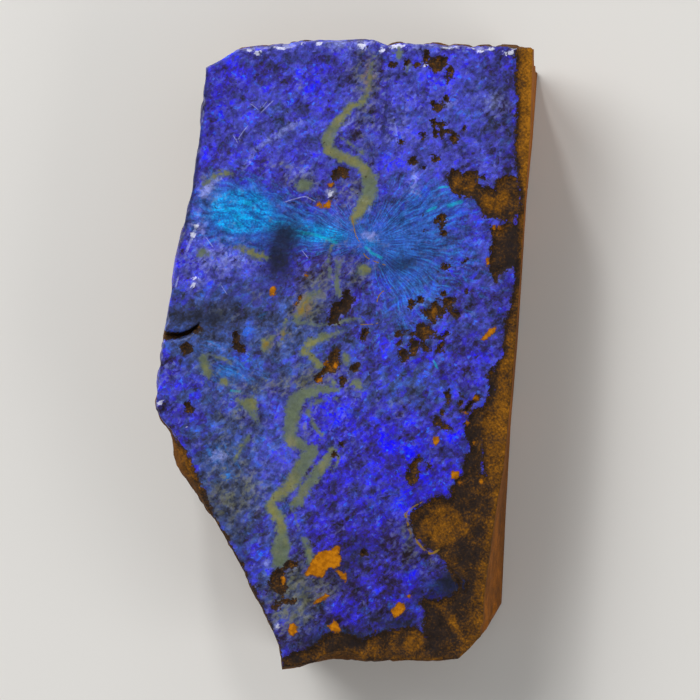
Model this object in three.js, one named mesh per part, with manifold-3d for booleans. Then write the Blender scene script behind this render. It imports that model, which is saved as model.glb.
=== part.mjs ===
// Rough boulder opal: one flat slab of brown ironstone whose face is a thin skin of precious opal.
// It lies on its sawn back with the opal face up. Millimetres, +Z up, +Y towards the chipped end,
// origin in the middle of the back.
import * as THREE from "three";
import { ParametricGeometry } from "three/addons/geometries/ParametricGeometry.js";
import { mergeGeometries, mergeVertices } from "three/addons/utils/BufferGeometryUtils.js";
import Module from "manifold-3d";

const wasm = await Module();
wasm.setup();

// Driving dimensions
const LENGTH = 34; // chipped end to foot end
const THICKNESS = 7; // sawn back to the highest part of the face
const OUTLINE_UNIT = LENGTH / 100; // outline points are hundredths of the length, from the middle
const MEAN_HALF_WIDTH = 0.27 * LENGTH;
const MEAN_HALF_LENGTH = 0.48 * LENGTH;

// The four sides of the slab seen from above: both ends from left to right, both sides from foot to head
const CHIPPED_END = [
  [-22.5, 45.4], [-17.4, 48.5], [-11.4, 49.2], [-6.5, 49.8], [-1.1, 49.7], [3.9, 50.0], [6.5, 49.2],
  [8.4, 49.6], [13.9, 49.4], [19.4, 49.0], [24.2, 49.1], [29.1, 48.9], [30.6, 47.2],
];
const FOOT_END = [
  [-10.3, -50.0], [-7.6, -49.7], [-5.1, -49.1], [-2.9, -48.6], [4.2, -48.8], [14.2, -48.8],
  [17.4, -48.5], [19.1, -46.9], [21.6, -44.0],
];
const SAWN_SIDE = [
  [21.6, -44.0], [22.9, -42.9], [24.7, -39.8], [25.4, -25.1], [26.2, -11.1], [27.3, 2.3], [28.7, 24.4],
  [29.7, 34.5], [30.6, 47.2],
];
const BROKEN_SIDE = [
  [-10.3, -50.0], [-10.9, -46.2], [-12.9, -41.8], [-17.3, -33.1], [-21.1, -26.5], [-25.1, -20.7],
  [-27.3, -17.9], [-28.3, -12.6], [-29.9, -10.0], [-30.6, -8.8], [-30.5, -7.4], [-30.0, -2.8],
  [-29.3, 2.1], [-29.0, 4.1], [-27.2, 15.3], [-24.8, 25.7], [-23.6, 34.5], [-22.5, 45.4],
];

// How far the face's rim stands in from the outline, as [place along the side from 0 to 1, millimetres]:
// the saw cut leans out most at the foot, and the broken side has one sloping ledge
const SAWN_LEAN = [
  [0, 0.9], [0.04, 2.2], [0.085, 2.1], [0.13, 1.75], [0.17, 1.4], [0.21, 1.1], [0.25, 0.85], [0.29, 0.55],
  [0.34, 0.4], [0.42, 0.28], [0.75, 0.25], [0.87, 0.36], [1, 0.62],
];
const BROKEN_LEAN = [
  [0, 0.12], [0.28, 0.15], [0.33, 0.45], [0.38, 0.7], [0.41, 0.35], [0.44, 0.12], [1, 0.12],
];
const END_LEAN = 0.15;
const RIM_DEPTH = 0.16; // of the thickness: how far down a broken rim is rounded over
const LUMPS_FADE = 0.45; // level where the lumps begin to fade, to be gone where the rim is rounded
const UNDERCUT = 0.45; // millimetres that the broken sides draw in at the back
const BROKEN_LUMPS = 0.95; // height of the lumps on a broken side
const SAWN_LUMPS = 0.02; // a saw leaves almost none

// Swells and hollows of the face: [x, y and radius in outline units, height in millimetres]
const SWELLS = [
  [-17, 22, 8, 0.18], [-11.4, 15, 6, -0.42], [3.8, 18, 5, 0.2], [9, 13, 8, -0.3], [-5, 2, 9, -0.15],
  [-20, -16, 13, -0.3], [16, -43, 12, -0.4], [25, 41, 11, -0.22], [8, -18, 13, 0.12],
  [14.7, -27, 4.5, -0.22],
];
const FACE_CROWN = 0.3; // millimetres that the face falls from its middle to its ends

// Conchoidal bites out of the rim: [x, y and half-width in outline units]
const CHIPS = [
  [-20.4, 48.3, 2.2], [-14.6, 49.4, 2.2], [-9.8, 50.0, 2.6], [-3.6, 50.5, 1.8], [2.9, 50.6, 2.4],
  [6.4, 50.2, 2.0], [11.0, 50.2, 1.9], [15.9, 49.9, 2.4], [21.2, 49.8, 2.6], [26.8, 49.7, 2.2],
  [-0.9, -49.7, 4.2], [-31.0, -8.2, 1.5], [24.6, -42.2, 2.2],
];
const CHIP_SHAPE = new THREE.Vector3(1, 0.66, 0.55); // width, bite and depth beside the half-width

// The open crack in the broken side: its outline in outline units, and how deep it goes
const CRACK = [
  [-31.5, 5.1], [-29.0, 4.2], [-28.3, 3.5], [-26.7, 3.3], [-25.0, 3.8], [-23.3, 4.9], [-24.7, 3.2],
  [-26.0, 2.7], [-27.7, 2.2], [-29.2, 2.0], [-31.5, 1.7],
];
const CRACK_DEPTH = 0.9;

// Grid of the surface
const COLUMNS = 30;
const ROWS = 48;
const LEVELS = 9;
const LEVEL_CROWDING = 1.5; // above 1 crowds the levels towards the rim

// The value at t on a line of [place, value] stops
function along(stops, t) {
  const next = stops.findIndex(([place]) => place >= t);
  if (next <= 0) return stops[next === 0 ? 0 : stops.length - 1][1];
  const [t0, v0] = stops[next - 1];
  const [t1, v1] = stops[next];
  return THREE.MathUtils.lerp(v0, v1, (t - t0) / (t1 - t0));
}

function sidePath(points) {
  return new THREE.Path(points.map(([x, y]) => new THREE.Vector2(x, y).multiplyScalar(OUTLINE_UNIT)));
}

const chippedEnd = sidePath(CHIPPED_END);
const footEnd = sidePath(FOOT_END);
const sawnSide = sidePath(SAWN_SIDE);
const brokenSide = sidePath(BROKEN_SIDE);

// A point inside the outline: the patch that blends the four sides, for s and t from 0 to 1
function patchPoint(s, t) {
  const between = footEnd.getPoint(s).lerp(chippedEnd.getPoint(s), t);
  const beside = brokenSide.getPoint(t).lerp(sawnSide.getPoint(t), s);
  const footCorners = footEnd.getPoint(0).lerp(footEnd.getPoint(1), s);
  const headCorners = chippedEnd.getPoint(0).lerp(chippedEnd.getPoint(1), s);
  return between.add(beside).sub(footCorners.lerp(headCorners, t));
}

// Creased lumps of a broken surface: how far in they stand, from 0 to 1. Each wave is folded at its
// middle, which leaves sharp ridges between rounded hollows
function lumps(x, y, z) {
  const leaning = Math.abs(Math.sin(0.62 * x + 0.5 * y + 0.33 * z + 0.4));
  const crossing = Math.abs(Math.sin(0.7 * x - 0.58 * y + 0.55 * z + 1.9));
  const layered = Math.abs(Math.sin(0.21 * x + 0.17 * y - 0.95 * z + 0.7));
  return 0.38 * leaning + 0.34 * crossing + 0.28 * layered;
}

function faceHeight(x, y) {
  const swell = SWELLS.reduce((sum, [sx, sy, radius, height]) => {
    const distance = Math.hypot(x / OUTLINE_UNIT - sx, y / OUTLINE_UNIT - sy);
    return sum + height * Math.exp(-((distance / radius) ** 2));
  }, 0);
  return THICKNESS - FACE_CROWN * (y / MEAN_HALF_LENGTH) ** 2 + swell;
}

// How far a side stands in at a level from 0, the back, to 1, the rim: a saw cut leans straight,
// and a broken side is rounded at the rim and draws in below
function sawnInset(lean, level) {
  return lean * level;
}
function brokenInset(lean, level) {
  const rounded = THREE.MathUtils.smoothstep(level, 1 - RIM_DEPTH, 1) ** 2;
  return lean * rounded + UNDERCUT * (1 - level) ** 1.5;
}

// The stone's surface: a and b run from -1 to 1 across and along the slab, level from back to rim
function stonePoint(a, b, level) {
  const s = (a + 1) / 2;
  const t = (b + 1) / 2;
  const start = patchPoint(s, t);
  const z = level * faceHeight(start.x, start.y);
  const faded = THREE.MathUtils.smoothstep(level, LUMPS_FADE, 1 - RIM_DEPTH);
  const lump = lumps(start.x, start.y, z) * (1 - faded);
  const sideInset =
    a > 0
      ? sawnInset(along(SAWN_LEAN, t), level) + SAWN_LUMPS * lump
      : brokenInset(along(BROKEN_LEAN, t), level) + BROKEN_LUMPS * lump;
  const endInset = brokenInset(END_LEAN, level) + BROKEN_LUMPS * lump;
  const inner = patchPoint(
    (1 + a * (1 - sideInset / MEAN_HALF_WIDTH)) / 2,
    (1 + b * (1 - endInset / MEAN_HALF_LENGTH)) / 2,
  );
  return new THREE.Vector3(inner.x, inner.y, level === 1 ? faceHeight(inner.x, inner.y) : z);
}

// A place on the rim of the -1 to 1 square, for step counted round it anticlockwise in grid cells
function squareRim(step) {
  if (step <= COLUMNS) return [(2 * step) / COLUMNS - 1, -1];
  if (step <= COLUMNS + ROWS) return [1, (2 * (step - COLUMNS)) / ROWS - 1];
  if (step <= 2 * COLUMNS + ROWS) return [1 - (2 * (step - COLUMNS - ROWS)) / COLUMNS, 1];
  return [-1, 1 - (2 * (step - 2 * COLUMNS - ROWS)) / ROWS];
}

const RIM_STEPS = 2 * (COLUMNS + ROWS);

function faceSurface() {
  return new ParametricGeometry(
    (u, v, target) => target.copy(stonePoint(2 * u - 1, 2 * v - 1, 1)),
    COLUMNS,
    ROWS,
  );
}

function flankSurface() {
  return new ParametricGeometry(
    (u, v, target) => {
      const [a, b] = squareRim(Math.round(u * RIM_STEPS) % RIM_STEPS);
      target.copy(stonePoint(a, b, 1 - (1 - v) ** LEVEL_CROWDING));
    },
    RIM_STEPS,
    LEVELS,
  );
}

// The sawn back: the lowest ring of the flank, filled flat and facing down
function backSurface() {
  const ring = Array.from({ length: RIM_STEPS }, (_, step) => stonePoint(...squareRim(step), 0));
  const shape = new THREE.Shape(ring.map((point) => new THREE.Vector2(point.x, point.y)));
  const back = new THREE.ShapeGeometry(shape);
  back.setIndex(Array.from(back.index.array).reverse());
  return back;
}

// A closed surface as a solid that can be joined and cut
function solidOf(geometry) {
  const bare = new THREE.BufferGeometry().setAttribute("position", geometry.getAttribute("position"));
  if (geometry.index) bare.setIndex(geometry.index);
  const merged = mergeVertices(bare, 1e-4);
  return new wasm.Manifold(
    new wasm.Mesh({
      numProp: 3,
      vertProperties: merged.getAttribute("position").array,
      triVerts: new Uint32Array(merged.index.array),
    }),
  );
}

function geometryOf(solid) {
  const mesh = solid.getMesh();
  const geometry = new THREE.BufferGeometry();
  geometry.setAttribute("position", new THREE.BufferAttribute(mesh.vertProperties, 3));
  geometry.setIndex(new THREE.BufferAttribute(mesh.triVerts, 1));
  return geometry;
}

// A rounded bite centred on the rim, a little above the face
function chipSolid([x, y, halfWidth]) {
  const size = halfWidth * OUTLINE_UNIT;
  const bite = new THREE.IcosahedronGeometry(size, 2).scale(CHIP_SHAPE.x, CHIP_SHAPE.y, CHIP_SHAPE.z);
  const place = [x * OUTLINE_UNIT, y * OUTLINE_UNIT];
  return solidOf(bite.translate(...place, faceHeight(...place)));
}

function crackSolid() {
  const outline = CRACK.map(([x, y]) => new THREE.Vector2(x, y).multiplyScalar(OUTLINE_UNIT));
  const shape = new THREE.Shape(outline);
  const slit = new THREE.ExtrudeGeometry(shape, { depth: 2 * CRACK_DEPTH, bevelEnabled: false });
  return solidOf(slit.translate(0, 0, THICKNESS - CRACK_DEPTH));
}

function boulderOpal() {
  const skin = [faceSurface(), flankSurface(), backSurface()].map((surface) => {
    surface.deleteAttribute("normal");
    surface.deleteAttribute("uv");
    return surface;
  });
  let stone = solidOf(mergeGeometries(skin));
  for (const chip of CHIPS) stone = stone.subtract(chipSolid(chip));
  const geometry = geometryOf(stone.subtract(crackSolid()));
  geometry.computeVertexNormals();
  const material = new THREE.MeshStandardMaterial({ color: 0x3a34b4, roughness: 0.4, metalness: 0 });
  const mesh = new THREE.Mesh(geometry, material);
  mesh.name = "boulder_opal";
  return mesh;
}

// The origin is set under the middle of the stone's box
const opal = boulderOpal();
const box = new THREE.Box3().setFromObject(opal);
const middle = box.getCenter(new THREE.Vector3());
opal.position.set(-middle.x, -middle.y, -box.min.z);

const part = new THREE.Group();
part.add(opal);

export default part;
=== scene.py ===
"""A rough boulder opal: a slab of brown ironstone whose face is a thin skin of blue-violet opal.

The stone is one mesh, worked out in millimetres: a patch stretched between the four sides of its outline,
carried down to a flat back. Its marks are fields of distance and strength, kept as mesh attributes.
The marks' places are pixels of a 700 by 700 picture of the face, turned into millimetres by one scale.
"""

import bpy
import numpy as np
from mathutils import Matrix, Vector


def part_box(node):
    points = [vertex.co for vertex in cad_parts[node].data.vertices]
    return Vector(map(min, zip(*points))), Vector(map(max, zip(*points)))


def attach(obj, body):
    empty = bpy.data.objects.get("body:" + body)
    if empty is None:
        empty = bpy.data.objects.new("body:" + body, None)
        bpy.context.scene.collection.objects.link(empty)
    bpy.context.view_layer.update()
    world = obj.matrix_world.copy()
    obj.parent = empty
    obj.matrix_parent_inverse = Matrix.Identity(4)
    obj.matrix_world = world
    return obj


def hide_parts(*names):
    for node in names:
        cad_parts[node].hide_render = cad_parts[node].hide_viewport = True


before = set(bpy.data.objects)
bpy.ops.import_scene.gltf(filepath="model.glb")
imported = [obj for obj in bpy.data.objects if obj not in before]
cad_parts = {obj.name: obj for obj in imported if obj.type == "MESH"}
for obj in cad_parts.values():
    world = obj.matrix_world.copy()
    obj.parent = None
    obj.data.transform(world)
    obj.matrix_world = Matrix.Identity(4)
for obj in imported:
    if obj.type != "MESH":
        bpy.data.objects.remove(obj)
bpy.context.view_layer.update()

# Driving sizes, in millimetres
LENGTH = 34.0
THICKNESS = 7.0
OUTLINE_UNIT = LENGTH / 100
MEAN_HALF_WIDTH = 0.27 * LENGTH
MEAN_HALF_LENGTH = 0.48 * LENGTH
METRE = 0.001

# The picture's scale: where the outline's middle falls, and how large a pixel is on the stone
PICTURE_SIZE = 700
PICTURE_MIDDLE = np.array([347.15, 354.5])
PIXELS_PER_UNIT = 6.326
PIXEL = OUTLINE_UNIT / PIXELS_PER_UNIT

# The four sides of the slab seen from above, in outline units: ends run from left to right,
# sides from foot to head
CHIPPED_END = np.array([
    (-22.5, 45.4), (-17.4, 48.5), (-11.4, 49.2), (-6.5, 49.8), (-1.1, 49.7), (3.9, 50.0), (6.5, 49.2),
    (8.4, 49.6), (13.9, 49.4), (19.4, 49.0), (24.2, 49.1), (29.1, 48.9), (30.6, 47.2),
]) * OUTLINE_UNIT
FOOT_END = np.array([
    (-10.3, -50.0), (-7.6, -49.7), (-5.1, -49.1), (-2.9, -48.6), (4.2, -48.8), (14.2, -48.8),
    (17.4, -48.5), (19.1, -46.9), (21.6, -44.0),
]) * OUTLINE_UNIT
SAWN_SIDE = np.array([
    (21.6, -44.0), (22.9, -42.9), (24.7, -39.8), (25.4, -25.1), (26.2, -11.1), (27.3, 2.3), (28.7, 24.4),
    (29.7, 34.5), (30.6, 47.2),
]) * OUTLINE_UNIT
BROKEN_SIDE = np.array([
    (-10.3, -50.0), (-10.9, -46.2), (-12.9, -41.8), (-17.3, -33.1), (-21.1, -26.5), (-25.1, -20.7),
    (-27.3, -17.9), (-28.3, -12.6), (-29.9, -10.0), (-30.6, -8.8), (-30.5, -7.4), (-30.0, -2.8),
    (-29.3, 2.1), (-29.0, 4.1), (-27.2, 15.3), (-24.8, 25.7), (-23.6, 34.5), (-22.5, 45.4),
]) * OUTLINE_UNIT

# How far the face's rim stands in from the outline: (place along the side, millimetres)
SAWN_LEAN = [
    (0, 0.9), (0.04, 2.2), (0.085, 2.1), (0.13, 1.75), (0.17, 1.4), (0.21, 1.1), (0.25, 0.85), (0.29, 0.55),
    (0.34, 0.4), (0.42, 0.28), (0.75, 0.25), (0.87, 0.36), (1, 0.62),
]
BROKEN_LEAN = [(0, 0.12), (0.28, 0.15), (0.33, 0.45), (0.38, 0.7), (0.41, 0.35), (0.44, 0.12), (1, 0.12)]
END_LEAN = 0.15
RIM_DEPTH = 0.16
LUMPS_FADE = 0.45
UNDERCUT = 0.45
BROKEN_LUMPS = 0.95
SAWN_LUMPS = 0.02

# Swells and hollows of the face: x, y and radius in outline units, height in millimetres
SWELLS = [
    (-17, 22, 8, 0.18), (-11.4, 15, 6, -0.42), (3.8, 18, 5, 0.2), (9, 13, 8, -0.3), (-5, 2, 9, -0.15),
    (-20, -16, 13, -0.3), (16, -43, 12, -0.4), (25, 41, 11, -0.22), (8, -18, 13, 0.12),
    (14.7, -27, 4.5, -0.22),
]
FACE_CROWN = 0.3

# Bites out of the rim: x, y and half-width in outline units
CHIPS = [
    (-20.4, 48.3, 2.2), (-14.6, 49.4, 2.2), (-9.8, 50.0, 2.6), (-3.6, 50.5, 1.8), (2.9, 50.6, 2.4),
    (6.4, 50.2, 2.0), (11.0, 50.2, 1.9), (15.9, 49.9, 2.4), (21.2, 49.8, 2.6), (26.8, 49.7, 2.2),
    (-0.9, -49.7, 4.2), (-31.0, -8.2, 1.5), (24.6, -42.2, 2.2),
]
CHIP_SHAPE = np.array([1, 0.66, 0.55])
SMALL_CHIPS = 70
SMALL_CHIP_SIZES = (0.35, 1.1)

# The open crack in the broken side, in outline units, and its depth in millimetres
CRACK = np.array([
    (-31.5, 3.4), (-28.6, 2.9), (-26.4, 2.95), (-24.9, 3.5), (-23.4, 4.8),
]) * OUTLINE_UNIT
CRACK_HALF_WIDTHS = [1.2, 0.75, 0.5, 0.35, 0.05]
CRACK_DEPTH = 0.9

# Grid of the surface
COLUMNS = 200
ROWS = 310
LEVELS = 30
LEVEL_CROWDING = 1.5
BACK_RINGS = 4

# Marks on the face, in picture pixels: shapes are corners, ribbons are (x, y, half width) points,
# dots are (x, y, half width, half height), and spots add a strength to those
IRON_SHAPES = [
    [(447, 178), (452, 170), (459, 169), (463, 175), (470, 171), (477, 171), (478, 184), (487, 188),
     (495, 190), (497, 182), (506, 175), (516, 178), (521, 195), (519, 212), (511, 224), (497, 219),
     (487, 218), (480, 208), (474, 199), (466, 197), (456, 195), (449, 187)],
    [(490, 226), (499, 230), (505, 222), (517, 226), (519, 256), (512, 268), (502, 272), (496, 284),
     (489, 270), (490, 250), (494, 240)],
    [(410, 300), (414, 303), (420, 296), (424, 298), (422, 302), (416, 305), (412, 309), (408, 306)],
    [(422, 311), (430, 309), (434, 302), (437, 300), (440, 308), (446, 312), (445, 316), (437, 318),
     (437, 324), (434, 325), (430, 319), (425, 317)],
    [(441, 302), (449, 297), (454, 299), (455, 302), (451, 306), (454, 311), (461, 312), (462, 316),
     (457, 318), (451, 315), (446, 308)],
    [(415, 328), (420, 323), (427, 326), (436, 331), (437, 336), (430, 336), (423, 341), (417, 336)],
    [(409, 347), (411, 341), (418, 338), (420, 343), (418, 351), (413, 356), (409, 352)],
    [(418, 337), (424, 341), (430, 346), (432, 350), (427, 352), (421, 347)],
    [(438, 337), (444, 333), (449, 330), (449, 335), (444, 338), (440, 340)],
    [(437, 345), (442, 342), (445, 346), (443, 351), (438, 352)],
    [(398, 352), (405, 350), (409, 354), (407, 362), (402, 362), (399, 357)],
    [(435, 222), (438, 217), (442, 214), (446, 218), (449, 222), (444, 221), (443, 229), (441, 229),
     (441, 222)],
    [(423, 58), (426, 51), (429, 52), (431, 58), (440, 56), (446, 58), (447, 64), (443, 69),
     (437, 73), (431, 69), (427, 63), (422, 62)],
    [(388, 66), (391, 60), (395, 64), (396, 67), (391, 69)],
    [(404, 64), (407, 59), (411, 61), (408, 66), (405, 67)],
    [(431, 103), (434, 101), (439, 103), (441, 108), (437, 112), (433, 110)],
    [(430, 121), (434, 119), (438, 122), (447, 124), (445, 127), (437, 127), (432, 126)],
    [(328, 320), (334, 304), (343, 299), (345, 291), (350, 291), (353, 302), (349, 310), (341, 314),
     (337, 323), (330, 325)],
    [(331, 353), (336, 350), (339, 356), (338, 368), (333, 372), (325, 374), (320, 378), (322, 383),
     (315, 384), (314, 379), (320, 372), (326, 366), (324, 363), (331, 362)],
    [(338, 378), (343, 376), (347, 381), (343, 386), (339, 384)],
    [(350, 371), (352, 366), (358, 365), (360, 368), (356, 373)],
    [(360, 337), (363, 330), (367, 328), (368, 331), (365, 340), (361, 341)],
    [(331, 177), (335, 168), (342, 166), (348, 170), (346, 177), (340, 176), (334, 181)],
    [(293, 307), (296, 301), (301, 294), (303, 298), (297, 305)],
    [(233, 333), (238, 331), (240, 336), (237, 341), (240, 345), (246, 349), (247, 353), (240, 352),
     (233, 348), (234, 341)],
    [(181, 346), (187, 343), (192, 347), (190, 354), (184, 354)],
    [(184, 403), (189, 401), (194, 408), (192, 413), (186, 412)],
    [(269, 584), (273, 573), (278, 569), (283, 572), (285, 582), (287, 592), (284, 598), (279, 595),
     (272, 589)],
    [(283, 567), (288, 562), (297, 563), (298, 567), (290, 569), (285, 572)],
    [(407, 478), (409, 466), (414, 459), (419, 457), (422, 461), (417, 464), (419, 472), (417, 481),
     (412, 484), (408, 483)],
    [(423, 458), (427, 460), (430, 468), (427, 467)],
    [(434, 418), (438, 416), (440, 422), (448, 424), (451, 428), (447, 431), (441, 427), (436, 426)],
    [(445, 392), (449, 390), (451, 398), (448, 406), (446, 400)],
    [(462, 412), (470, 402), (478, 395), (482, 397), (478, 402), (471, 407), (468, 414)],
    [(488, 372), (494, 368), (497, 395), (491, 406), (482, 418), (482, 470), (470, 478), (462, 470),
     (466, 456), (472, 447), (467, 436), (464, 428), (470, 416), (476, 408), (484, 408), (489, 396)],
    [(456, 478), (470, 470), (489, 476), (497, 486), (498, 508), (492, 530), (485, 560), (480, 580),
     (468, 582), (458, 576), (448, 566), (440, 556), (434, 552), (426, 547), (416, 537), (410, 524),
     (411, 513), (421, 506), (432, 500), (441, 497), (450, 500), (452, 488)],
    [(420, 604), (424, 598), (436, 601), (447, 597), (458, 592), (468, 590), (478, 594), (474, 615),
     (468, 645), (452, 652), (432, 648), (424, 630), (426, 612)],
    [(281, 674), (284, 658), (293, 652), (305, 650), (318, 644), (325, 635), (338, 633), (350, 635),
     (362, 641), (375, 634), (390, 630), (402, 629), (415, 627), (432, 640), (468, 640), (462, 668),
     (370, 668)],
]
IRON_DOTS = [
    (398, 335, 2.4, 2.4), (404, 332, 2, 2), (400, 344, 2, 3), (413, 334, 2, 2), (444, 294, 2.6, 2.6),
    (446, 267, 3.2, 2.6), (426, 231, 2.4, 1.8), (444, 234, 3, 2.4), (467, 292, 1.8, 1.8),
    (465, 262, 1.8, 1.8), (418, 64, 2.8, 2.2), (447, 78, 2.6, 5), (451, 71, 3, 3.5),
    (423, 136, 2.6, 2.6), (446, 100, 2.8, 4.5), (442, 134, 2.4, 3.4), (449, 132, 2.6, 2.2),
    (453, 138, 3.8, 4.2), (436, 133, 1.8, 4), (464, 129, 2.2, 2.4), (402, 142, 2.2, 2.2),
    (414, 161, 4.2, 4.2), (436, 159, 2.4, 2.4), (432, 155, 1.8, 1.8), (424, 168, 2.6, 2.2),
    (484, 178, 2.2, 2.2), (334, 455, 2.4, 2.4), (342, 445, 2, 2.2), (276, 607, 3.5, 2.2),
    (287, 602, 8, 2.2), (461, 403, 2, 4.5), (442, 414, 2, 2.6), (364, 553, 4, 3.5), (197, 330, 3.5, 3),
]
IRON_RIBBONS = [
    [(166, 430, 3), (172, 442, 5), (180, 455, 7), (189, 473, 6), (199, 492, 5), (208, 510, 3.5),
     (224, 540, 3), (245, 578, 3), (263, 615, 2.5), (281, 660, 3)],
    [(480, 556, 4), (472, 580, 6), (468, 602, 6)],
    [(448, 566, 2), (458, 580, 3), (462, 594, 3)],
]
BORDER = [
    (516, 60), (516, 90), (519, 97), (517, 112), (516, 130), (515, 150), (518, 175), (520, 197),
    (519, 212), (516, 228), (517, 245), (515, 262), (515, 285), (512, 300), (510, 312), (505, 322),
    (504, 340), (504, 355), (499, 362), (494, 370), (494, 392), (490, 404), (486, 411), (480, 421),
    (480, 436), (483, 448), (482, 466), (487, 478), (490, 488), (490, 508), (485, 525), (480, 548),
    (474, 572), (468, 598), (462, 632), (456, 650),
]
GOLD_SHAPES = [
    [(420, 524), (430, 512), (440, 506), (450, 505), (458, 510), (462, 521), (471, 525), (469, 535),
     (457, 541), (448, 547), (438, 548), (431, 541), (422, 534)],
    [(365, 648), (367, 640), (374, 636), (380, 640), (380, 650), (370, 652)],
    [(402, 648), (405, 640), (412, 632), (420, 630), (425, 636), (424, 650), (412, 654)],
    [(424, 600), (432, 601), (446, 608), (456, 618), (462, 634), (468, 644), (458, 640), (450, 628),
     (446, 616), (434, 608)],
    [(452, 186), (455, 176), (461, 178), (464, 186), (474, 184), (474, 191), (460, 192)],
    [(482, 204), (484, 195), (496, 196), (506, 186), (510, 200), (504, 212), (494, 214)],
    [(430, 314), (434, 306), (438, 312), (436, 317)],
]
OCHRE_SHAPES = [
    [(303, 577), (308, 569), (313, 560), (318, 553), (327, 551), (334, 548), (338, 545), (341, 549),
     (339, 553), (342, 558), (340, 566), (335, 569), (330, 568), (326, 572), (323, 577), (318, 578),
     (312, 575), (308, 577)],
    [(335, 569), (341, 571), (346, 574), (347, 581), (345, 583), (341, 577), (337, 574)],
    [(326, 626), (331, 625), (334, 620), (338, 625), (341, 631), (335, 634), (330, 630)],
    [(287, 631), (290, 624), (294, 623), (298, 627), (296, 635), (292, 637)],
    [(391, 615), (392, 609), (399, 603), (404, 605), (406, 609), (402, 614), (396, 618)],
    [(480, 341), (484, 335), (490, 329), (497, 327), (496, 331), (490, 337), (484, 341)],
    [(315, 206), (318, 201), (323, 204), (329, 200), (333, 204), (328, 209), (322, 208)],
    [(327, 185), (330, 182), (334, 184), (332, 188), (329, 188)],
    [(312, 603), (318, 598), (326, 594), (328, 597), (321, 602), (314, 605)],
]
OCHRE_DOTS = [
    (319, 381, 4, 3.2), (326, 364, 3.5, 3), (335, 366, 3, 3), (455, 475, 4.8, 4.4),
    (460, 483, 2.8, 1.8), (468, 424, 2, 3.2), (465, 413, 3, 2), (481, 482, 2.6, 2.2),
    (474, 444, 2.2, 2), (436, 441, 3, 4.6), (410, 597, 2.8, 1.6), (488, 262, 2, 4.4),
    (273, 291, 3, 5.4), (306, 275, 2, 3), (283, 580, 2, 5), (476, 399, 4, 2.4), (500, 228, 2, 2.4),
    (494, 228, 2, 2.4),
]
OCHRE_THREADS = [
    (0.5, [(352, 218), (354, 228), (356, 236), (360, 243), (362, 250), (366, 257), (373, 261),
     (384, 265)]),
    (0.45, [(390, 289), (384, 291), (379, 296), (377, 304), (380, 311), (380, 320), (376, 324),
     (362, 325)]),
    (1.1, [(405, 514), (408, 524), (411, 534), (418, 543), (424, 550), (431, 554), (438, 551)]),
    (0.5, [(405, 514), (412, 508), (421, 503)]),
]
VEIN_RIBBONS = [
    [(364, 102, 3), (352, 106, 4.5), (337, 122, 5.5), (327, 138, 6.5), (329, 151, 6.5), (344, 158, 6),
     (360, 165, 6.5), (370, 178, 8), (369, 194, 8), (361, 209, 8), (353, 221, 4)],
    [(340, 138, 1), (350, 145, 1.2), (362, 153, 1)],
    [(338, 390, 3), (318, 391, 4.5), (303, 395, 6.5), (295, 402, 8.5), (292, 418, 8), (290, 432, 8),
     (291, 442, 7), (303, 447, 5.5), (313, 451, 6), (302, 465, 9), (295, 479, 8), (283, 493, 6),
     (270, 503, 5.5), (272, 511, 6.5), (280, 521, 6.5), (282, 534, 7.5), (281, 548, 9), (280, 560, 9)],
    [(336, 399, 1.8), (320, 401, 2), (311, 405, 2.4), (308, 414, 2.6), (313, 424, 2.4), (322, 436, 3)],
    [(333, 450, 4), (325, 463, 6), (316, 475, 6.5), (305, 489, 6), (298, 502, 6.5)],
    [(338, 455, 1.2), (337, 466, 1.4), (331, 471, 1.2)],
    [(290, 505, 1), (295, 516, 1.2), (299, 530, 1)],
    [(304, 540, 2), (308, 551, 4), (311, 562, 4)],
    [(248, 437, 1.5), (241, 449, 2.8), (235, 460, 1.5)],
    [(345, 331, 2), (333, 335, 3.5), (318, 340, 4.5), (308, 345, 5.5), (304, 352, 4), (313, 358, 4),
     (321, 367, 4.5)],
    [(200, 190, 1.5), (207, 182, 2.5), (215, 176, 3), (224, 173, 3.5), (231, 175, 2.5)],
    [(232, 247, 2), (245, 250, 3.5), (256, 255, 5), (267, 258, 3)],
    [(338, 262, 2.5), (337, 280, 3.5), (339, 296, 3)],
    [(285, 322, 2.5), (284, 334, 3.2), (280, 345, 2)],
    [(374, 58, 1.5), (371, 74, 2.5), (369, 90, 3), (362, 103, 2.5)],
    [(300, 322, 1), (318, 326, 1.4), (338, 323, 1.4), (356, 318, 1), (368, 322, 0.8)],
    [(332, 246, 1), (328, 262, 1.6), (330, 278, 1)],
    [(208, 354, 1.5), (220, 357, 2.2), (230, 362, 1.5)],
]
VEIN_SHAPES = [
    [(292, 324), (294, 312), (300, 302), (309, 294), (322, 288), (318, 297), (308, 303), (304, 316),
     (298, 326)],
    [(262, 352), (264, 342), (270, 334), (276, 336), (272, 346), (268, 354)],
    [(231, 396), (243, 399), (254, 396), (258, 404), (257, 415), (262, 429), (253, 421), (246, 411),
     (238, 405)],
    [(197, 360), (203, 352), (210, 362), (214, 372), (209, 379), (203, 374)],
    [(392, 50), (399, 47), (404, 52), (402, 60), (396, 60)],
]
VEIN_DOTS = [
    (226, 382, 6, 5), (203, 253, 6, 5), (266, 345, 6, 7), (346, 359, 4, 6), (357, 384, 6, 6),
    (364, 270, 8, 6), (305, 186, 9, 7), (408, 66, 4, 4), (320, 388, 8, 3), (333, 384, 4, 4),
]
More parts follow.
